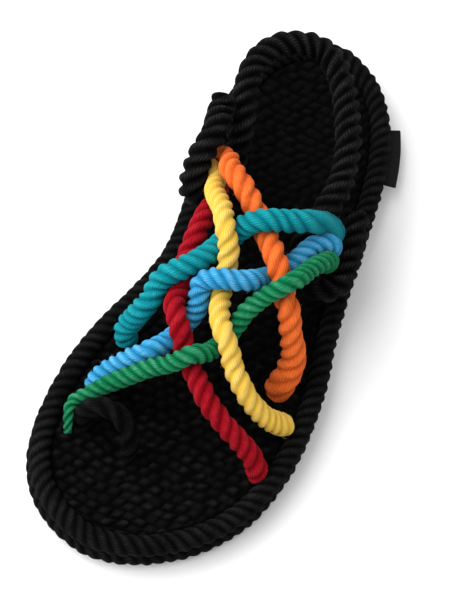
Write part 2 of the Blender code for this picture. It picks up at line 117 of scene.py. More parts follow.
# Sole mat
# The body of the sole is woven by hand from black cord. Rows of cord run across the foot and are packed
# tight, so that its top and underside are close rows of small nubs, set half a nub aside from row to row.
MM = 0.001     # in metres
SOLE_SECTIONS = np.array((     # station, inner edge, outer edge
    (-127.0, -32.0, 3.5),
    (-116.0, -42.5, 15.3),
    (-100.0, -48.5, 24.4),
    (-78.0, -50.5, 31.0),
    (-50.0, -48.0, 36.0),
    (-22.0, -42.8, 40.3),
    (0.0, -40.8, 44.5),
    (22.0, -44.8, 50.0),
    (44.0, -50.4, 52.8),
    (66.0, -53.2, 52.4),
    (88.0, -52.5, 47.4),
    (106.0, -48.3, 37.4),
    (120.0, -39.4, 23.8),
    (129.5, -25.5, 8.5),
))
HEEL_TIP = (-133.5, -14.5)
TOE_TIP = (133.5, -8.5)
TOE_SPRING = 3.0
TOE_SPRING_START = 78.0
MAT_INSET = 8.6
MAT_TOP = 15.5
MAT_DISH = 1.6
MAT_DISH_WIDTH = 26.0
MAT_SIDE = 3.2
MAT_TOP_BEND = 2.6
MAT_FOOT_BEND = 1.6
MAT_FOOT_NUBS = 0.7
MAT_FOOT_SHIFT = (2.0, 1.5)
NUB_ALONG = 4.3
NUB_ACROSS = 5.1
NUB_HEIGHT = 2.0
NUB_MEAN = 0.8
NUB_LEAN = 0.30
NUB_LEAN_STRAY = 0.5
NUB_ROW_STRAY = 0.3
NUB_STRAY = 0.45
NUB_FLATNESS = 2.4
NUB_FULLNESS = 0.8
NUB_LEAST = 0.60
ROW_BOW = (1.6, 21.0)     # this and the next three: reach, length for one radian
ROW_RIPPLE = (0.7, 4.1)
RIPPLE_DRIFT = (2.0, 13.0)
LANE_SWAY = (0.8, 11.0)
# The nubs are worn lower towards the heel, and since the mat's colour follows nub height, the mat is also
# darker towards the heel.
WORN_NUBS = 0.72
WORN_STATIONS = (-60.0, 50.0)
MAT_STATIONS = 340
MAT_LANES = 116
MAT_WELD = 5e-7
OUTLINE_STEP = 0.5
CURVE_POINTS = 60
SCATTER_WEIGHTS = (12.9898, 78.233)
SCATTER_SCALE = 43758.5453
SECOND_DRAW = 7.0


def even_steps(curve, step):
    """Points at equal distances along a curve, close to step apart, from its first point to its last."""
    along = np.concatenate([[0.0], np.cumsum(np.linalg.norm(np.diff(curve, axis=0), axis=1))])
    even = np.linspace(0.0, along[-1], round(along[-1] / step) + 1)
    return np.stack([np.interp(even, along, column) for column in curve.T], axis=1)


def curve_through(points, step, closed=False):
    """Even steps along a Catmull-Rom curve: each stretch is the cubic between two neighbouring points whose
    slope at each of them is half the chord from the point before it to the point after it."""
    points = np.asarray(points, dtype=float)
    if closed:
        knots = np.concatenate([points[-1:], points, points[:2]])
    else:
        knots = np.concatenate([2 * points[:1] - points[1:2], points, 2 * points[-1:] - points[-2:-1]])
    before, start, end, after = (knots[shift:len(knots) - 3 + shift, None] for shift in range(4))
    share = np.linspace(0.0, 1.0, CURVE_POINTS, endpoint=False)[None, :, None]
    curve = 0.5 * (2 * start + (end - before) * share
                   + (2 * before - 5 * start + 4 * end - after) * share ** 2
                   + (3 * start - before - 3 * end + after) * share ** 3)
    return even_steps(np.concatenate([curve.reshape(-1, points.shape[1]), knots[-2:-1]]), step)


def ring_directions(ring):
    """Unit directions along a closed ring of points."""
    steps = np.roll(ring, -1, axis=0) - np.roll(ring, 1, axis=0)
    return steps / np.linalg.norm(steps, axis=1)[:, None]


def sole_outline(inset):
    """The outline of the sole seen from above, counter-clockwise, moved inwards by inset along its normal."""
    points = np.vstack([TOE_TIP, SOLE_SECTIONS[::-1, (0, 2)], HEEL_TIP, SOLE_SECTIONS[:, (0, 1)]])
    edge = curve_through(points, OUTLINE_STEP, closed=True)[:-1]
    along = ring_directions(edge)
    return edge + inset * np.stack([-along[:, 1], along[:, 0]], axis=1)


def toe_lift(station):
    """How far the sole curls up towards the toe: the square of the share of the toe's length."""
    share = np.clip((station - TOE_SPRING_START) / (TOE_TIP[0] - TOE_SPRING_START), 0.0, 1.0)
    return TOE_SPRING * share ** 2


def put_piece(name, points, faces, material, node, uvs=None, tones=None):
    """A mesh from whole arrays: points in millimetres, a list of face arrays, each of rows of corner numbers,
    and a list of texture places per corner, or one tone per point. It rides on the one body and stands for
    its node of the model."""
    corners = np.concatenate([rows.ravel() for rows in faces])
    sizes = np.concatenate([np.full(len(rows), rows.shape[1]) for rows in faces])
    mesh = bpy.data.meshes.new(name)
    mesh.vertices.add(len(points))
    mesh.vertices.foreach_set("co", (points * MM).ravel())
    mesh.loops.add(len(corners))
    mesh.loops.foreach_set("vertex_index", corners)
    mesh.polygons.add(len(sizes))
    mesh.polygons.foreach_set("loop_start", np.concatenate([[0], np.cumsum(sizes)[:-1]]))
    if uvs is not None:
        mesh.uv_layers.new(name="lay").data.foreach_set("uv", np.concatenate([rows.ravel() for rows in uvs]))
    if tones is not None:
        mesh.attributes.new("tone", "FLOAT", "POINT").data.foreach_set("value", tones)
    mesh.update(calc_edges=True)
    mesh.validate()
    mesh.shade_smooth()
    mesh.materials.append(material)
    piece = bpy.data.objects.new(name, mesh)
    bpy.context.collection.objects.link(piece)
    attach(piece, "root")
    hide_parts(node)
    return piece


def scatter(first, second):
    """A repeatable number between 0 and 1 for each pair of whole numbers: the decimals of a large sine."""
    turn = first * SCATTER_WEIGHTS[0] + second * SCATTER_WEIGHTS[1]
    return np.modf(np.abs(np.sin(turn)) * SCATTER_SCALE)[0]


def slow_wave(place, reach, length, shift=0.0):
    """A sine of that reach, which turns by one radian in each length."""
    return reach * np.sin(place / length + shift)


def hump(share):
    """1 in the middle of a cell, less a power of the share of the way to its edge, where it is 0."""
    return np.clip(1.0 - np.abs(2 * share) ** NUB_FLATNESS, 0.0, 1.0)


def woven_nubs(station, offset):
    """Height, from 0 to 1, of the woven surface: in each cell of the weave, the product of two humps, one
    along the foot and one across it. Rows waver as slow sines, cells of odd rows stand half a cell aside,
    each cell leans and strays a little by chance, and all of them are worn lower towards the heel."""
    ripple = slow_wave(offset, *ROW_RIPPLE, slow_wave(station, *RIPPLE_DRIFT))
    along = (station + slow_wave(offset, *ROW_BOW) + ripple) / NUB_ALONG
    row = np.floor(along)
    in_row = along - row - 0.5
    across = (offset + slow_wave(station, *LANE_SWAY)) / NUB_ACROSS + 0.5 * (row % 2)
    across += NUB_ROW_STRAY * scatter(row, 3.0 * row)
    across += (NUB_LEAN + NUB_LEAN_STRAY * (scatter(row, np.floor(across)) - 0.5)) * in_row
    lane = np.floor(across)
    in_lane = across - lane - 0.5
    in_row += NUB_STRAY * (scatter(lane, row) - 0.5)
    in_lane += NUB_STRAY * (scatter(row + SECOND_DRAW, lane) - 0.5)
    wear = np.interp(station, WORN_STATIONS, (WORN_NUBS, 1.0))
    size = NUB_LEAST + (1.0 - NUB_LEAST) * scatter(row, lane)
    return wear * (hump(in_row) * hump(in_lane)) ** NUB_FULLNESS * size


def mat_sheet(height_at):
    """A sheet over the mat's outline: stations close up towards heel and toe as the cosine does, lanes run
    from the inner edge to the outer one, and height_at gives its height from the place and how far inside the
    edge it is."""
    edge = sole_outline(MAT_INSET)
    heel, toe = np.argmin(edge[:, 0]), np.argmax(edge[:, 0])
    inner = np.roll(edge, -heel, axis=0)[:(toe - heel) % len(edge) + 1]
    outer = np.roll(edge, -toe, axis=0)[:(heel - toe) % len(edge) + 1][::-1]
    turn = np.linspace(0.0, np.pi, MAT_STATIONS)
    station = (edge[heel, 0] * (1 + np.cos(turn)) + edge[toe, 0] * (1 - np.cos(turn))) / 2
    low = np.interp(station, inner[:, 0], inner[:, 1])
    high = np.interp(station, outer[:, 0], outer[:, 1])
    share = np.linspace(0.0, 1.0, MAT_LANES)
    offset = low[:, None] + (high - low)[:, None] * share[None, :]
    station = np.broadcast_to(station[:, None], offset.shape)
    inside = np.minimum(np.minimum(offset - low[:, None], high[:, None] - offset),
                        np.minimum(station - edge[heel, 0], edge[toe, 0] - station))
    height = height_at(station, offset, np.clip(inside, 0.0, None)) + toe_lift(station)
    return np.stack([station, offset, height], axis=2)


def mat_top(station, offset, inside):
    """Dished by a smooth step from the rim inwards, with the nubs on it, and bent down at the very edge."""
    dish = np.clip(inside / MAT_DISH_WIDTH, 0.0, 1.0)
    edge = np.clip(inside / MAT_SIDE, 0.0, 1.0)
    return (MAT_TOP - NUB_HEIGHT * NUB_MEAN - MAT_DISH * dish ** 2 * (3 - 2 * dish)
            - MAT_TOP_BEND * (1 - edge) ** 2 + NUB_HEIGHT * woven_nubs(station, offset) * edge)


def mat_underside(station, offset, inside):
    """The same weave, worn flatter, with its lowest points on the floor, and bent up at the very edge."""
    edge = np.clip(inside / MAT_SIDE, 0.0, 1.0)
    nubs = woven_nubs(station + MAT_FOOT_SHIFT[0], offset + MAT_FOOT_SHIFT[1])
    return MAT_FOOT_NUBS * (1.0 - nubs) + MAT_FOOT_BEND * (1 - edge) ** 2


def sheet_faces(stations, lanes, first=0):
    """Rows of four corners over a grid of points, numbered from first."""
    corner = first + np.arange(stations * lanes).reshape(stations, lanes)
    four = [corner[:-1, :-1], corner[1:, :-1], corner[1:, 1:], corner[:-1, 1:]]
    return np.stack(four, axis=2).reshape(-1, 4)


def link(tree, value, socket):
    """Connects an output to an input, or sets the input to a number."""
    if isinstance(value, (int, float)):
        socket.default_value = value
    else:
        tree.links.new(value, socket)


def math_node(tree, operation, *values):
    """The result of a Math node on the values, which are outputs or numbers."""
    node = tree.nodes.new("ShaderNodeMath")
    node.operation = operation
    for value, socket in zip(values, node.inputs):
        link(tree, value, socket)
    return node.outputs[0]


def noise_node(tree, vector, scale, detail, roughness=0.6):
    """The value, near 0.5, of a noise of that scale."""
    node = tree.nodes.new("ShaderNodeTexNoise")
    node.inputs["Scale"].default_value = scale
    node.inputs["Detail"].default_value = detail
    node.inputs["Roughness"].default_value = roughness
    tree.links.new(vector, node.inputs["Vector"])
    return node.outputs[0]


def shade_ramp(tree, value, colours):
    """A colour from dark to light as value goes from 0 to 1."""
    ramp = tree.nodes.new("ShaderNodeValToRGB")
    elements = ramp.color_ramp.elements
    while len(elements) < len(colours):
        elements.new(0.5)
    for element, place, colour in zip(elements, np.linspace(0.0, 1.0, len(colours)), colours):
        element.position = place
        element.color = (*colour, 1.0)
    tree.links.new(value, ramp.inputs[0])
    return ramp.outputs[0]


def add_bump(tree, shader, height, distance, strength):
    """Tilts the shading by a height in units of distance, in metres."""
    bump = tree.nodes.new("ShaderNodeBump")
    bump.inputs["Distance"].default_value = distance
    bump.inputs["Strength"].default_value = strength
    tree.links.new(height, bump.inputs["Height"])
    tree.links.new(bump.outputs[0], shader.inputs["Normal"])


# The mat's blacks run from a painted shade in the grooves between the nubs to a painted highlight on the nub
# tops.
MAT_BLACKS = ((0.0003, 0.0003, 0.0003), (0.0022, 0.0022, 0.0023), (0.0120, 0.0118, 0.0120))
MAT_ROUGHNESS = 0.88
MAT_SHEEN = 0.01
CORD_GLOSS = 0.03
MAT_FIBRE_SCALE = 2600.0
MAT_FIBRE_SHADE = 0.5
MAT_NUB_PAINTED_SHADE = 0.75
MAT_SHADE_START = -0.25
MAT_FIBRE_DEPTH = 0.0004
MAT_FIBRE_STRENGTH = 0.6
mat_material, mat_shader = plain_material("woven_black_cord", (*MAT_BLACKS[1], 1.0), MAT_ROUGHNESS)
mat_shader.inputs["Specular IOR Level"].default_value = CORD_GLOSS
mat_shader.inputs["Sheen Weight"].default_value = MAT_SHEEN
mat_tree = mat_material.node_tree
mat_place = mat_tree.nodes.new("ShaderNodeTexCoord").outputs["Object"]
mat_fibre = noise_node(mat_tree, mat_place, MAT_FIBRE_SCALE, detail=3.0)
mat_nub_painted_shade = mat_tree.nodes.new("ShaderNodeAttribute")
mat_nub_painted_shade.attribute_name = "tone"
# The tone attribute is the nub height: nub tops are painted lighter and the grooves between them darker, as
# painted shade. Fibre noise adds grain on top.
mat_painted_shade_and_grain = math_node(mat_tree, "MULTIPLY_ADD", mat_nub_painted_shade.outputs["Fac"], MAT_NUB_PAINTED_SHADE, MAT_SHADE_START)
mat_painted_shade_and_grain = math_node(mat_tree, "MULTIPLY_ADD", mat_fibre, MAT_FIBRE_SHADE, mat_painted_shade_and_grain)
mat_tree.links.new(shade_ramp(mat_tree, mat_painted_shade_and_grain, MAT_BLACKS), mat_shader.inputs["Base Color"])
add_bump(mat_tree, mat_shader, mat_fibre, MAT_FIBRE_DEPTH, MAT_FIBRE_STRENGTH)

mat_sheets = [mat_sheet(mat_top), mat_sheet(mat_underside)]
# Each point's tone is its nub height, which the material turns into painted shade in the grooves between
# nubs.
mat_painted_shades = np.concatenate([woven_nubs(*np.moveaxis(sheet[:, :, :2], 2, 0)).ravel() for sheet in mat_sheets])
mat_corner = np.arange(2 * MAT_STATIONS * MAT_LANES).reshape(2, MAT_STATIONS, MAT_LANES)
mat_edge = np.concatenate([mat_corner[:, :-1, 0], mat_corner[:, -1, :-1], mat_corner[:, :0:-1, -1],
                           mat_corner[:, 0, :0:-1]], axis=1)
mat_next = np.roll(mat_edge, -1, axis=1)
mat_wall = np.stack([mat_edge[1], mat_next[1], mat_next[0], mat_edge[0]], axis=1)
mat_faces = [sheet_faces(MAT_STATIONS, MAT_LANES),
             sheet_faces(MAT_STATIONS, MAT_LANES, MAT_STATIONS * MAT_LANES)[:, ::-1], mat_wall]
mat_points = np.concatenate([sheet.reshape(-1, 3) for sheet in mat_sheets])
mat_piece = put_piece("sole_mat_woven", mat_points, mat_faces, mat_material, "sole_mat", tones=mat_painted_shades)
# All lanes meet at the heel and at the toe, so their ends are merged into one point there.
mat_tips = bmesh.new()
mat_tips.from_mesh(mat_piece.data)
bmesh.ops.remove_doubles(mat_tips, verts=mat_tips.verts, dist=MAT_WELD)
mat_tips.to_mesh(mat_piece.data)
mat_tips.free()


# Rim ropes
# Two turns of black laid rope, one on the other, go round the edge of the mat and are sewn to it. Each is
# three soft twisted strands laid together.
RIM_RADIUS = 4.6
RIM_STEP_IN = 0.4
RIM_LAY = 15.0
RIM_APART = 9.5
RIM_STEP = 0.75
ROPE_COLUMNS = 60
STRANDS = 3
RIM_RELIEF = 0.15
GROOVE_SHARPNESS = 1.5
ROPE_WAVER = 0.012
TWIST_WAVES = (31.0, 12.0)
STRAND_WAVES = (7.3, 3.7)
STRAND_SHIFTS = (2.1, 4.4)
FIBRES_PER_MM = 3.0
FIBRE_RADIUS = 0.05
FIBRE_LENGTHS = (0.4, 0.5, 2.4)     # shortest, mean beyond that, longest
FIBRE_MARGIN = 3
FIBRE_ROOT = 0.1
FIBRE_LEAN_STRAY = 0.7
FIBRE_MIDDLE = (0.45, 0.22)     # shares of its length, along the rope and outwards
FIBRE_TIP = 0.85
FIBRE_RISE = (0.2, 0.9)
FIBRE_TAPER = 0.8
STEEP = 0.9     # rise of a direction that counts as upright
CM = 10.0     # in millimetres


def rope_section(relief):
    """Share of the rope's radius round each section: 1 on the crown of each strand, less relief times a power
    of a raised cosine that peaks in the grooves between the strands."""
    turn = np.arange(ROPE_COLUMNS) / ROPE_COLUMNS
    return 1.0 - relief[:, None] * (0.5 + 0.5 * np.cos(2 * np.pi * STRANDS * turn)) ** GROOVE_SHARPNESS


def carried_normals(along):
    """A normal for each direction of a path, carried from point to point without turning about the path."""
    aside = np.cross(along[0], (0.0, 0.0, 1.0) if abs(along[0, 2]) < STEEP else (0.0, 1.0, 0.0))
    normals = [aside / np.linalg.norm(aside)]
    for direction in along[1:]:
        turned = normals[-1] - direction * np.dot(normals[-1], direction)
        normals.append(turned / np.linalg.norm(turned))
    return np.array(normals)


def fibre_sheaf(points, along, chance, count):
    """Loose ends of fibre on a rope: each is a thin three-sided spike of seven points, a ring at its root, a
    ring half way and a tip. It starts just inside the surface, leans along the rope and bends outwards."""
    ring = chance.integers(FIBRE_MARGIN, len(points) - FIBRE_MARGIN, count)
    column = chance.integers(0, ROPE_COLUMNS, count)
    root = points[ring, column]
    out = root - points[ring].mean(axis=1)
    out /= np.linalg.norm(out, axis=1)[:, None]
    forward = along[ring] * chance.choice((-1.0, 1.0), (count, 1))
    side = np.cross(out, forward)
    lean = forward + side * chance.normal(0.0, FIBRE_LEAN_STRAY, (count, 1))
    shortest, mean, longest = FIBRE_LENGTHS
    length = np.minimum(shortest + chance.exponential(mean, (count, 1)), longest)
    middle = root + length * (FIBRE_MIDDLE[0] * lean + FIBRE_MIDDLE[1] * out)
    tip = root + length * (FIBRE_TIP * lean + chance.uniform(*FIBRE_RISE, (count, 1)) * out)
    turn = (2 * np.pi * np.arange(3) / 3)[None, :, None]
    ring_shape = FIBRE_RADIUS * (np.cos(turn) * side[:, None] + np.sin(turn) * out[:, None])
    root_ring = (root - FIBRE_ROOT * out)[:, None] + ring_shape
    middle_ring = middle[:, None] + FIBRE_TAPER * ring_shape
    return np.concatenate([root_ring, middle_ring, tip[:, None]], axis=1)


def waves(length, wave_lengths, share, shifts):
    """The sum of two sines along a rope, each with a whole number of waves of about its wave length."""
    return sum(np.sin(2 * np.pi * round(length / wave_length) * share + shift)
               for wave_length, shift in zip(wave_lengths, shifts))


def put_rope(name, path, lay, relief, radius, material, node, closed=False, twist=1.0):
    """A laid rope: the three-strand section is carried along the path and turned once in each lay length,
    faster or slower where twist is not 1, with a slow waver in its twist and thickness. Where it would reach
    below the floor it is pressed flat. Its texture places are the distance along the rope in centimetres and
    the share of the way round."""
    rings = len(path)
    step = np.linalg.norm(path[1] - path[0])
    length = rings * step
    if closed:
        along = ring_directions(path)
        normals = np.cross((0.0, 0.0, 1.0), along)
        normals /= np.linalg.norm(normals, axis=1)[:, None]
        turns = round(length / lay)
    else:
        along = np.gradient(path, axis=0)
        along /= np.linalg.norm(along, axis=1)[:, None]
        normals = carried_normals(along)
        turns = length / lay
    share = np.arange(rings) / rings
    twisted = np.cumsum(np.broadcast_to(twist, rings)) / rings
    waver = ROPE_WAVER * waves(length, TWIST_WAVES, share, (0.0, 1.0))
    column = np.arange(ROPE_COLUMNS)
    angle = 2 * np.pi * (turns * twisted + waver)[:, None] + 2 * np.pi * column / ROPE_COLUMNS
    strand = column * STRANDS // ROPE_COLUMNS
    lumps = ROPE_WAVER * waves(length, STRAND_WAVES, share[:, None], np.outer(STRAND_SHIFTS, strand))
    section = rope_section(np.broadcast_to(relief, rings)) + lumps
    reach = (radius * (1.0 + waver))[:, None] * section
    points = (path[:, None] + (reach * np.cos(angle))[:, :, None] * normals[:, None]
              + (reach * np.sin(angle))[:, :, None] * np.cross(along, normals)[:, None])
    corner = np.arange(rings * ROPE_COLUMNS).reshape(rings, ROPE_COLUMNS)
    corner = np.concatenate([corner, corner[:1]] if closed else [corner])
    corner = np.concatenate([corner, corner[:, :1]], axis=1)
    down, round_it = np.meshgrid(np.arange(len(corner)) * step / CM, np.linspace(0, 1, ROPE_COLUMNS + 1),
                                 indexing="ij")
    place = np.stack([down, round_it], axis=2)
    quads, quad_places = [np.stack([grid[:-1, :-1], grid[:-1, 1:], grid[1:, 1:], grid[1:, :-1]], axis=2)
                          for grid in (corner, place)]
    fibres = fibre_sheaf(points, along, np.random.default_rng(rings), round(FIBRES_PER_MM * length))
    points, faces, places = points.reshape(-1, 3), [quads.reshape(-1, 4)], [quad_places.reshape(-1, 2)]
    if not closed:
        for ring, pole, order in ((corner[0], len(points), -1), (corner[-1], len(points) + 1, 1)):
            fan = np.stack([ring[:-1], ring[1:], np.full(ROPE_COLUMNS, pole)], axis=1)[:, ::order]
            faces.append(fan)
            # The end caps take the texture place 0, which lies in a groove, so they get the groove's painted
            # shade.
            places.append(np.zeros((fan.size, 2)))
        points = np.vstack([points, path[0], path[-1]])
    spikes = np.arange(fibres.size // 3).reshape(fibres.shape[:2]) + len(points)
    sides = spikes[:, (0, 1, 2, 0, 3, 4, 5, 3, 6)]
    tip_and_root = ((4, 5, 8), (5, 6, 8), (6, 7, 8), (2, 1, 0))
    faces += [np.stack([sides[:, :3], sides[:, 1:4], sides[:, 5:8], sides[:, 4:7]], axis=2).reshape(-1, 4),
              np.concatenate([sides[:, three] for three in tip_and_root])]
    # The fibres take the texture place 0.5, on the crown of a strand, so they get the crown's painted
    # highlight.
    places += [np.full((rows.size, 2), 0.5) for rows in faces[-2:]]
    points = np.vstack([points, fibres.reshape(-1, 3)])
    points[:, 2] = np.maximum(points[:, 2], 0.0)
    put_piece(name, points, faces, material, node, places)


YARNS = 27
ROPE_ROUGHNESS = 0.86
ROPE_SHEEN_ROUGHNESS = 0.45
FIBRE_SCALE = 2.6
FIBRE_STRETCH = 1.4
DYE_SCALE = 90.0
FIBRE_SHADE = 0.9
DYE_SHADE = 0.4
SHADE_START = -0.05
YARN_SHADE = 0.08
# These two paint light and shade on the strands: the crowns lighter as a painted highlight, and the grooves
# darker by a power of the distance from the crown, as painted shade.
CROWN_PAINTED_HIGHLIGHT = -0.3
PAINTED_GROOVE_POWER = 3.0
YARN_DEPTH = 0.35
ROPE_BUMP_DEPTH = 0.0003
ROPE_BUMP_STRENGTH = 0.55


def rope_material(name, colours, lay, radius, groove_painted_shade, sheen):
    """Laid rope of soft yarn. Its tone is the sum of fibres that run along the yarns, a slow change of dye, a
    sine for the yarns that run along the rope, and a painted shade, taken away from the crowns of the strands
    towards the grooves between them, which leaves a painted highlight on each crown."""
    material, shader = plain_material(name, (*colours[1], 1.0), ROPE_ROUGHNESS)
    shader.inputs["Specular IOR Level"].default_value = CORD_GLOSS
    shader.inputs["Sheen Weight"].default_value = sheen
    shader.inputs["Sheen Roughness"].default_value = ROPE_SHEEN_ROUGHNESS
    tree = material.node_tree
    place = tree.nodes.new("ShaderNodeUVMap")
    place.uv_map = "lay"
    parts = tree.nodes.new("ShaderNodeSeparateXYZ")
    tree.links.new(place.outputs[0], parts.inputs[0])
    down, round_it = parts.outputs[0], parts.outputs[1]
    twist = math_node(tree, "MULTIPLY_ADD", down, CM / lay, round_it)
    yarn = math_node(tree, "SINE", math_node(tree, "MULTIPLY", twist, 2 * np.pi * YARNS))
    fibre_place = tree.nodes.new("ShaderNodeCombineXYZ")
    tree.links.new(math_node(tree, "MULTIPLY", twist, 2 * np.pi * radius), fibre_place.inputs[0])
    tree.links.new(math_node(tree, "MULTIPLY", down, FIBRE_STRETCH), fibre_place.inputs[1])
    fibre = noise_node(tree, fibre_place.outputs[0], FIBRE_SCALE, detail=4.0, roughness=0.7)
    dye = noise_node(tree, tree.nodes.new("ShaderNodeTexCoord").outputs["Object"], DYE_SCALE, detail=2.0)
    # Painted highlight on the crown of each strand, painted shade in the grooves between the strands.
    in_strand = math_node(tree, "FRACT", math_node(tree, "MULTIPLY", round_it, STRANDS))
    off_crown = math_node(tree, "ABSOLUTE", math_node(tree, "SUBTRACT", in_strand, 0.5))
    painted_groove_mask = math_node(tree, "POWER", math_node(tree, "MULTIPLY", off_crown, 2.0), PAINTED_GROOVE_POWER)
    tone = math_node(tree, "MULTIPLY_ADD", dye, DYE_SHADE, SHADE_START)
    for share, weight in ((fibre, FIBRE_SHADE), (yarn, YARN_SHADE), (painted_groove_mask, -groove_painted_shade),
                          (off_crown, CROWN_PAINTED_HIGHLIGHT)):
        tone = math_node(tree, "MULTIPLY_ADD", share, weight, tone)
    tree.links.new(shade_ramp(tree, tone, colours), shader.inputs["Base Color"])
    height = math_node(tree, "MULTIPLY_ADD", yarn, YARN_DEPTH, fibre)
    add_bump(tree, shader, height, ROPE_BUMP_DEPTH, ROPE_BUMP_STRENGTH)
    return material


# Black cord, from a painted shade in the grooves between the strands to a painted highlight on their crowns;
# the groove value is how much painted shade falls in the grooves.
BLACKS = ((0.0002, 0.0002, 0.0003), (0.0027, 0.0027, 0.0028), (0.0210, 0.0206, 0.0210))
BLACK_GROOVE_PAINTED_SHADE = 0.45
BLACK_SHEEN = 0.004
black_rim = rope_material("black_rim_rope", BLACKS, RIM_LAY, RIM_RADIUS, BLACK_GROOVE_PAINTED_SHADE, BLACK_SHEEN)
for rim_name, rim_inset, rim_height in (("rim_rope_lower", 0.0, RIM_RADIUS),
                                        ("rim_rope_upper", RIM_STEP_IN, RIM_RADIUS + RIM_APART)):
    rim_line = sole_outline(rim_inset + RIM_RADIUS)
    rim_path = np.column_stack([rim_line, rim_height + toe_lift(rim_line[:, 0])])
    rim_path = even_steps(np.vstack([rim_path, rim_path[:1]]), RIM_STEP)[:-1]
    put_rope(rim_name + "_laid", rim_path, RIM_LAY, RIM_RELIEF, np.full(len(rim_path), RIM_RADIUS), black_rim,
             rim_name, closed=True)


# Heel strap
# One thick black laid rope goes round the heel. Each end is folded back on itself into an eye, with the cut
# end sewn down against the rope, and the coloured ropes run through the eyes.
STRAP_RADIUS = 5.8
STRAP_LAY = 18.0
STRAP_STEP = 0.6
STRAP_RELIEF = 0.32
STRAP_END = 2.5
STRAP_END_LEAST = 0.02
# The strap's grooves get a deeper painted shade and its strand crowns a brighter painted highlight than the
# rim ropes.
STRAP_GROOVE_PAINTED_SHADE = 0.60
STRAP_BLACKS = ((0.0001, 0.0001, 0.0002), (0.0026, 0.0026, 0.0027), (0.0310, 0.0304, 0.0310))
STRAP_ROUTE = (
    (-61.1, -45.4, 54.7), (-53.5, -44.1, 52.2), (-40.0, -41.4, 54.8), (-29.0, -42.0, 51.5),
    (-20.5, -39.6, 40.2), (-28.5, -34.0, 27.8), (-37.4, -30.7, 27.9), (-47.9, -31.4, 36.6),
    (-59.1, -35.2, 44.1), (-72.7, -40.3, 47.6), (-85.0, -41.8, 49.0), (-96.0, -37.4, 50.0),
    (-103.0, -28.5, 50.0), (-104.4, -18.0, 50.0), (-97.5, -8.0, 50.0), (-87.0, 0.0, 50.0), (-70.0, 9.4, 49.5),
    (-56.0, 14.0, 47.8), (-47.0, 15.2, 46.5), (-38.0, 14.6, 44.8), (-29.5, 12.4, 41.2), (-20.0, 13.6, 38.5),
    (-12.0, 19.5, 36.5), (-7.5, 27.0, 36.0), (-13.0, 33.5, 37.2), (-23.0, 32.8, 38.8), (-34.0, 30.6, 39.9),
    (-46.0, 26.8, 41.2),
)


def rounded_ends(path, radius, ease):
    """The radius along an open rope, closed at both ends as a quarter of an ellipse that is ease long."""
    along = np.linspace(0.0, 1.0, len(path)) * (len(path) - 1) * np.linalg.norm(path[1] - path[0])
    end = np.clip(np.minimum(along, along[-1] - along) / ease, STRAP_END_LEAST, 1.0)
    return radius * np.sqrt(1.0 - (1.0 - end) ** 2)


strap_path = curve_through(STRAP_ROUTE, STRAP_STEP)
strap_radius = rounded_ends(strap_path, STRAP_RADIUS, STRAP_END)
black_strap = rope_material("black_strap_rope", STRAP_BLACKS, STRAP_LAY, STRAP_RADIUS, STRAP_GROOVE_PAINTED_SHADE,
                            BLACK_SHEEN)
put_rope("heel_strap_laid", strap_path, STRAP_LAY, STRAP_RELIEF, strap_radius, black_strap, "heel_strap")


# Toe loop
# A thinner black laid rope arches over the big toe as a loop. Both of its ends go down through the nubs of
# the footbed and are held in the woven mat.
LOOP_RADIUS = 4.2
LOOP_LAY = 26.0
LOOP_RELIEF = 0.24
# From a painted shade in the grooves between the strands to a painted highlight on their crowns.
LOOP_BLACKS = ((0.0001, 0.0001, 0.0001), (0.0012, 0.0012, 0.0012), (0.0150, 0.0148, 0.0150))
ROPE_STEP = 0.5
LOOP_ARCH = ((86.0, -33.2, 22.0), (85.6, -33.0, 29.0), (84.6, -28.6, 36.0), (84.4, -21.8, 38.0),
             (86.2, -15.0, 34.5), (88.8, -11.2, 26.0))
LOOP_FEET = ((86.2, -32.4), (90.2, -10.4))
ANCHOR_HEIGHTS = (6.0, 11.5, 16.5)
ROPE_SQUEEZE = 0.74
SQUEEZE_HOLD = 10.5
SQUEEZE_LENGTH = 9.0


def end_share(distance, taper):
    """0 in the squeezed end of a rope, rising evenly to 1 over the taper beyond it."""
    return np.clip((distance - SQUEEZE_HOLD) / taper, 0.0, 1.0)


def squeezed(along, length, radius, end_radius, end_taper):
    """The radius of a rope that is squeezed at its start and narrows to end_radius at its end."""
    start = radius * (ROPE_SQUEEZE + (1.0 - ROPE_SQUEEZE) * end_share(along, SQUEEZE_LENGTH))
    return np.minimum(start, end_radius + (radius - end_radius) * end_share(length - along, end_taper))


loop_route = [*((*LOOP_FEET[0], height) for height in ANCHOR_HEIGHTS), *LOOP_ARCH,
              *((*LOOP_FEET[1], height) for height in ANCHOR_HEIGHTS[::-1])]
loop_path = curve_through(loop_route, ROPE_STEP)
loop_along = np.arange(len(loop_path)) * ROPE_STEP
loop_radius = squeezed(loop_along, loop_along[-1], LOOP_RADIUS, LOOP_RADIUS * ROPE_SQUEEZE, SQUEEZE_LENGTH)
black_loop = rope_material("black_loop_rope", LOOP_BLACKS, LOOP_LAY, LOOP_RADIUS, BLACK_GROOVE_PAINTED_SHADE, BLACK_SHEEN)
put_rope("toe_loop_laid", loop_path, LOOP_LAY, LOOP_RELIEF, loop_radius, black_loop, "toe_loop")


# Instep ropes
# Six soft laid ropes, each dyed its own colour, are laced over and under each other across the instep. Each
# starts in an eye of the heel strap and ends in the woven mat near the edge of the sole.
FOOT_SECTIONS = np.array((     # station, centre, half width, crown height
    (-60.0, -6.0, 40.0, 66.0),
    (-35.0, -3.0, 41.0, 66.0),
    (-10.0, 1.0, 42.0, 64.0),
    (20.0, 3.0, 45.0, 57.0),
    (45.0, 2.0, 48.0, 47.0),
    (70.0, -1.0, 50.0, 37.0),
    (95.0, -4.0, 48.0, 30.0),
))
FOOT_FLOOR = 18.0
WEAVE_LIFT = 5.1
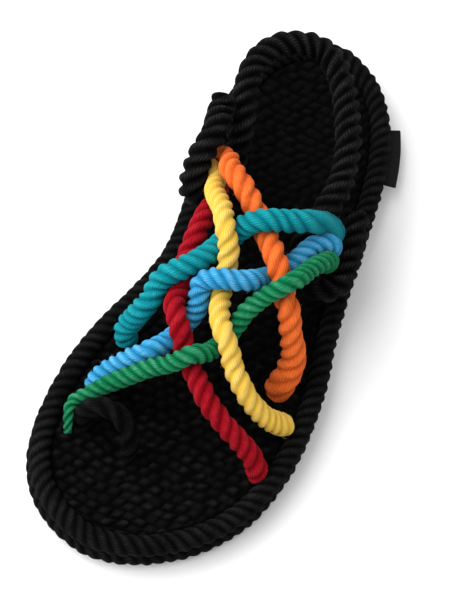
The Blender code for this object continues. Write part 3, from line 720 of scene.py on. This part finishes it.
# The ropes of an eye share one tail, moved along to each rope's own station in the eye. Away from the base
# station it also moves aside, by the skew.
INNER_EYE = {
    "tail": ((-3.2, -41.0, 39.4), (0.2, -39.0, 42.3), (3.8, -36.8, 45.4)), "base": -31.2, "skew": 0.17,
}
OUTER_EYE = {
    "tail": ((0.5, 21.5, 39.5), (0.0, 21.8, 45.2), (2.3, 19.0, 52.2)), "base": -31.5, "skew": 0.35,
}
# A row is a station, an offset and how far the rope lies over or under the instep, in weave lifts. Colours
# go from a painted shade in the grooves, through the rope's own colour, to a painted highlight on the
# crowns of the strands. Girth, tail and foot change the thickness of the whole rope, of its start in the
# eye and of its end; tight is the twist at its end, and loose how far it is slack.
INSTEP_ROPES = {
    "rope_orange": {
        "colours": ((0.30, 0.034, 0.005), (0.57, 0.102, 0.018), (0.78, 0.185, 0.047)),
        "radius": 4.9, "lay": 20.0, "eye": INNER_EYE, "eye_station": -44.0,
        "rows": ((-32.6, -33.4, 0.2), (-25.5, -23.8, 0.2), (-17.5, -13.0, -0.6), (-9.0, -4.0, -1.05),
                 (-3.0, 2.6, -0.3), (5.0, 9.3, 0.4), (10.5, 15.6, -0.4), (15.5, 21.0, -0.3)),
        "descent": ((20.0, 26.2, 42.5), (22.9, 30.6, 33.0), (26.6, 32.0, 26.0), (30.0, 31.6, 21.5)),
        "anchor": (31.6, 31.3), "end_radius": 4.9, "tail": 0.62, "foot": 1.27, "end_relief": 0.13,
    },
    "rope_yellow": {
        "colours": ((0.59, 0.340, 0.027), (0.55, 0.352, 0.056), (0.73, 0.555, 0.205)),
        "radius": 4.45, "lay": 17.2, "eye": INNER_EYE, "eye_station": -31.2,
        "rows": ((-22.4, -32.4, -0.3), (-14.0, -27.0, 0.5), (-5.5, -20.0, 1.1), (2.0, -15.3, 1.3),
                 (10.2, -10.8, 0.2), (19.0, -7.6, -0.9), (26.5, -5.0, -0.4), (33.5, -1.2, 0.3),
                 (39.3, 3.2, 0.8), (46.2, 11.2, 0.2), (50.6, 17.9, 0.0)),
        "descent": ((53.0, 25.5, 36.0), (52.4, 33.5, 28.6), (49.0, 40.2, 21.8)), "anchor": (47.0, 37.6),
        "tail": 0.85, "foot": 1.13, "tight": 1.9,
    },
    "rope_red": {
        "colours": ((0.070, 0.0004, 0.0012), (0.215, 0.002, 0.007), (0.400, 0.026, 0.036)),
        "radius": 4.6, "lay": 17.6, "eye": INNER_EYE, "eye_station": -33.2, "eye_drop": 8.4,
        "rows": ((-18.0, -30.0, -1.6), (-2.0, -28.2, -0.7), (9.0, -27.0, -1.0), (18.8, -25.1, -1.05),
                 (31.0, -21.5, 0.0), (42.0, -15.4, 0.6), (47.5, -10.3, 0.1), (51.5, -5.7, -0.5),
                 (56.0, 0.4, -0.3), (63.0, 10.1, 0.0)),
        "descent": ((67.0, 21.0, 35.0), (68.2, 29.8, 29.4), (69.4, 35.8, 23.8), (70.4, 38.6, 19.8)),
        "anchor": (70.8, 39.2), "tail": 0.55,
    },
    "rope_teal": {
        "colours": ((0.0006, 0.058, 0.076), (0.002, 0.170, 0.203), (0.032, 0.345, 0.370)),
        "radius": 4.6, "lay": 13.8, "eye": OUTER_EYE, "eye_station": -29.5,
        "rows": ((-20.5, 13.5, 0.2), (-14.5, 6.7, 0.6), (-8.3, -3.6, 0.9), (-4.8, -11.0, 0.1),
                 (2.0, -15.3, -0.6), (11.7, -18.6, 0.2), (19.6, -23.6, 0.9), (27.8, -27.8, 0.3),
                 (37.4, -32.2, 0.0)),
        "descent": ((41.6, -35.8, 26.0), (43.4, -36.4, 20.8)), "anchor": (43.6, -35.2),
        "girth": 1.08, "loose": 26.0,
    },
    "rope_blue": {
        "colours": ((0.006, 0.080, 0.180), (0.022, 0.225, 0.425), (0.215, 0.425, 0.610)),
        "radius": 4.2, "lay": 12.8, "eye": OUTER_EYE, "eye_station": -22.6,
        "rows": ((-13.0, 18.2, -1.2), (-4.0, 13.6, -1.5), (5.0, 9.3, -1.55), (13.0, 4.2, 0.0),
                 (18.0, -1.3, 0.8), (20.2, -7.2, 1.0), (22.3, -14.1, 0.5), (27.8, -15.8, -0.1),
                 (34.4, -14.6, -1.0), (42.0, -15.4, -1.4), (48.5, -17.8, -0.8), (55.0, -22.5, -0.2)),
        "descent": ((60.7, -29.5, 31.0), (65.5, -35.0, 23.0)), "anchor": (68.0, -36.8),
        "girth": 1.09,
    },
    "rope_green": {
        "colours": ((0.0003, 0.036, 0.009), (0.0022, 0.128, 0.048), (0.100, 0.335, 0.205)),
        "radius": 3.65, "lay": 12.2, "eye": OUTER_EYE, "eye_station": -16.3,
        "rows": ((-6.6, 23.2, 0.3), (3.4, 19.5, 1.0), (10.5, 15.6, 1.3), (17.0, 11.0, 0.5),
                 (25.1, 6.6, -0.2), (32.0, 4.6, -0.7), (39.3, 3.2, -0.9), (47.4, 0.0, 0.4),
                 (51.9, -4.9, 1.25), (57.6, -11.4, 0.7), (61.5, -17.6, 0.4)),
        "descent": ((68.6, -26.8, 33.5), (76.5, -34.8, 27.5), (82.5, -38.9, 23.5), (88.5, -38.7, 20.5)),
        "anchor": (92.0, -37.4), "end_radius": 1.7, "end_taper": 24.0, "girth": 1.11, "foot": 0.46,
        "end_relief": 0.45,
    },
}
ROPE_GAP = 0.3
SETTLE_STEP = 2.0
SETTLE_ROUNDS = 900
SETTLE_SPREAD = 4
SETTLE_PINNED = 12.0
SETTLE_NEAR = 8.0
SETTLE_PUSH = 0.4
SETTLE_CLOSE = 0.02
INSTEP_RELIEF = 0.21
# How much painted shade falls in the grooves between the strands of the dyed ropes.
INSTEP_GROOVE_PAINTED_SHADE = 0.32
INSTEP_SHEEN = 0.015
TAIL_LENGTH = 18.0
LOOSE_TWIST = 0.2
LOOSE_RELIEF = 0.5
LOOSE_LENGTH = 14.0
END_REACH = 40.0
END_HOLD = 12.0


def instep_height(station, offset):
    """Height of the top of the foot: half an ellipse across each section, blended between sections."""
    centre, half_width, crown = (np.interp(station, FOOT_SECTIONS[:, 0], column)
                                 for column in FOOT_SECTIONS.T[1:])
    across = np.clip((offset - centre) / half_width, -1.0, 1.0)
    return FOOT_FLOOR + (crown - FOOT_FLOOR) * np.sqrt(1.0 - across ** 2)


def instep_route(rope):
    """Tail through the eye, lacing over the instep, then down into the mat. Each row of the lacing stands its
    own share of the weave lift above the instep."""
    eye = rope["eye"]
    lean = eye["skew"] * (rope["eye_station"] - eye["base"])
    move = np.array((rope["eye_station"], lean, -rope.get("eye_drop", 0.0)))
    rows = np.array(rope["rows"])
    lacing = np.column_stack([rows[:, :2], instep_height(rows[:, 0], rows[:, 1]) + rows[:, 2] * WEAVE_LIFT])
    foot = [(*rope["anchor"], height) for height in ANCHOR_HEIGHTS[::-1]]
    return np.vstack([np.array(eye["tail"]) + move, lacing, rope["descent"], foot])


def instep_radius(rope, along, length):
    """The radius along an instep rope, squeezed in its eye and narrowed to its own end radius in the mat."""
    end_radius = rope.get("end_radius", rope["radius"] * ROPE_SQUEEZE)
    return squeezed(along, length, rope["radius"], end_radius, rope.get("end_taper", SQUEEZE_LENGTH))


def settled_routes():
    """The middle lines of the instep ropes, pushed apart a little at a time, each push spread along its rope
    as a smooth bell, until no two ropes are closer than their radii and the gap. The heel strap and the toe
    loop stay put."""
    spots, radii, owner, free = [], [], [], []
    routes = {name: instep_route(rope) for name, rope in INSTEP_ROPES.items()}
    routes.update({"heel_strap": STRAP_ROUTE, "toe_loop": loop_route})
    for index, (name, route) in enumerate(routes.items()):
        path = even_steps(curve_through(route, ROPE_STEP), SETTLE_STEP)
        along = np.arange(len(path)) * SETTLE_STEP
        rope = INSTEP_ROPES.get(name)
        spots.append(path)
        radii.append(instep_radius(rope, along, along[-1]) if rope else
                     np.full(len(path), STRAP_RADIUS if name == "heel_strap" else LOOP_RADIUS))
        owner.append(np.full(len(path), index))
        free.append(np.clip((along[-1] - along) / SETTLE_PINNED - 1.0, 0.0, 1.0) * (rope is not None))
    spots, radii, owner, free = np.vstack(spots), np.hstack(radii), np.hstack(owner), np.hstack(free)
    need = radii[:, None] + radii[None, :] + ROPE_GAP
    apart = np.linalg.norm(spots[:, None] - spots[None, :], axis=2)
    one, other = np.nonzero((owner[:, None] != owner[None, :]) & (apart < need + SETTLE_NEAR))
    need = need[one, other]
    share = free[one] / np.maximum(free[one] + free[other], 1e-6)
    bell = np.hanning(2 * SETTLE_SPREAD + 3)[1:-1]
    for _ in range(SETTLE_ROUNDS):
        between = spots[one] - spots[other]
        apart = np.linalg.norm(between, axis=1)
        close = np.clip(need - apart, 0.0, None)
        if close.max() < SETTLE_CLOSE:
            break
        push = np.zeros_like(spots)
        touches = np.zeros(len(spots))
        np.add.at(push, one, between / apart[:, None] * (close * share)[:, None])
        np.add.at(touches, one, close > 0)
        push /= np.maximum(touches, 1.0)[:, None]
        for index in range(len(INSTEP_ROPES)):
            mine = owner == index
            spread = np.stack([np.convolve(column, bell, "same") for column in push[mine].T], axis=1)
            spots[mine] += SETTLE_PUSH * spread * free[mine][:, None]
    return {name: spots[owner == index] for index, name in enumerate(INSTEP_ROPES)}


def towards_end(left, before, after):
    """A value that changes evenly from before to after as the length that is left of the rope runs out."""
    return np.interp(left, (END_HOLD, END_REACH), (after, before))


for rope_name, rope_route in settled_routes().items():
    rope = INSTEP_ROPES[rope_name]
    rope_path = curve_through(rope_route, ROPE_STEP)
    rope_along = np.arange(len(rope_path)) * ROPE_STEP
    rope_left = rope_along[::-1]
    rope_tail = rope.get("tail", 1.0)
    rope_tail += (1.0 - rope_tail) * end_share(rope_along, TAIL_LENGTH)
    rope_girth = rope["radius"] * rope.get("girth", 1.0) * rope_tail
    rope_girth = rope_girth * towards_end(rope_left, 1.0, rope.get("foot", 1.0))
    rope_relief = towards_end(rope_left, INSTEP_RELIEF, rope.get("end_relief", INSTEP_RELIEF))
    rope_twist = towards_end(rope_left, 1.0, rope.get("tight", 1.0))
    if "loose" in rope:
        laid = np.clip((rope_along - rope["loose"]) / LOOSE_LENGTH, 0.0, 1.0)
        rope_twist *= LOOSE_TWIST + (1.0 - LOOSE_TWIST) * laid
        rope_relief *= LOOSE_RELIEF + (1.0 - LOOSE_RELIEF) * laid
    rope_dye = rope_material("dyed_" + rope_name, rope["colours"], rope["lay"], rope["radius"], INSTEP_GROOVE_PAINTED_SHADE,
                             INSTEP_SHEEN)
    put_rope(rope_name + "_laid", rope_path, rope["lay"], rope_relief, rope_girth, rope_dye, rope_name,
             twist=rope_twist)


# Tag
# A short piece of black woven ribbon is folded in two, with its fold outwards. Its cut ends are caught and
# sewn between the two rim ropes on the outer side of the heel.
TAG_STATION = -95.0
TAG_LENGTH = 26.0
TAG_REACH = 5.2
TAG_ROOT = 1.7
TAG_THICK = 1.4
TAG_WAVE = 0.25
TAG_WAVE_LENGTH = 5.0
TAG_ROWS = 53
TAG_FOLD_POINTS = 13
TAG_FLAT_POINTS = 9
TAG_BLACKS = ((0.0015, 0.0015, 0.0015), (0.004, 0.004, 0.004), (0.010, 0.010, 0.010))
TAG_ROUGHNESS = 0.7
TAG_GLOSS = 0.08
TAG_WEAVE_SCALE = 2600.0
TAG_WEAVE_SHADE = 0.5
TAG_SHADE_SCALE = 700.0
TAG_WEAVE_DEPTH = 0.0001
TAG_WEAVE_STRENGTH = 0.4
tag_material, tag_shader = plain_material("woven_ribbon", (*TAG_BLACKS[1], 1.0), TAG_ROUGHNESS)
tag_shader.inputs["Specular IOR Level"].default_value = TAG_GLOSS
tag_tree = tag_material.node_tree
tag_place = tag_tree.nodes.new("ShaderNodeTexCoord").outputs["Object"]
tag_weave = tag_tree.nodes.new("ShaderNodeTexChecker")
tag_weave.inputs["Scale"].default_value = TAG_WEAVE_SCALE
tag_tree.links.new(tag_place, tag_weave.inputs["Vector"])
tag_shade = noise_node(tag_tree, tag_place, TAG_SHADE_SCALE, detail=3.0)
tag_tone = math_node(tag_tree, "MULTIPLY_ADD", tag_weave.outputs[1], TAG_WEAVE_SHADE, tag_shade)
tag_tree.links.new(shade_ramp(tag_tree, tag_tone, TAG_BLACKS), tag_shader.inputs["Base Color"])
add_bump(tag_tree, tag_shader, tag_weave.outputs[1], TAG_WEAVE_DEPTH, TAG_WEAVE_STRENGTH)

tag_edge = sole_outline(0.0)
tag_edge = tag_edge[tag_edge[:, 1] > np.mean(tag_edge[:, 1])]
tag_edge = tag_edge[np.argsort(tag_edge[:, 0])]
tag_along = np.linspace(-0.5, 0.5, TAG_ROWS) * TAG_LENGTH
tag_root = np.interp(TAG_STATION + tag_along, tag_edge[:, 0], tag_edge[:, 1])
tag_slope = np.gradient(tag_root, tag_along)
tag_outward = np.stack([-tag_slope, np.ones_like(tag_slope)], axis=1) / np.hypot(tag_slope, 1.0)[:, None]
# The profile goes out along the lower layer, round the fold as half a circle and back along the upper layer.
tag_half = TAG_THICK / 2
tag_bend = np.linspace(-np.pi / 2, np.pi / 2, TAG_FOLD_POINTS)
tag_fold = np.column_stack([TAG_REACH - tag_half + tag_half * np.cos(tag_bend), tag_half * np.sin(tag_bend)])
tag_layer = np.linspace(-TAG_ROOT, TAG_REACH - tag_half, TAG_FLAT_POINTS + 1)[:-1]
tag_lower = np.column_stack([tag_layer, np.full(TAG_FLAT_POINTS, -tag_half)])
tag_upper = np.column_stack([tag_layer[::-1], np.full(TAG_FLAT_POINTS, tag_half)])
tag_profile = np.vstack([tag_lower, tag_fold, tag_upper])[None]
tag_height = RIM_RADIUS + RIM_APART / 2 + TAG_WAVE * np.sin(tag_along / TAG_WAVE_LENGTH)
tag_feet = np.column_stack([TAG_STATION + tag_along, tag_root])
tag_plan = tag_feet[:, None] + tag_profile[:, :, :1] * tag_outward[:, None]
tag_points = np.concatenate([tag_plan, tag_height[:, None, None] + tag_profile[:, :, 1:]], axis=2)
tag_corner = np.arange(tag_points.shape[0] * tag_points.shape[1]).reshape(tag_points.shape[:2])
tag_ring = np.concatenate([tag_corner, tag_corner[:, :1]], axis=1)
tag_four = [tag_ring[:-1, :-1], tag_ring[:-1, 1:], tag_ring[1:, 1:], tag_ring[1:, :-1]]
tag_faces = [np.stack(tag_four, axis=2).reshape(-1, 4), tag_corner[:1, ::-1], tag_corner[-1:]]
put_piece("tag_ribbon", tag_points.reshape(-1, 3), tag_faces, tag_material, "tag")
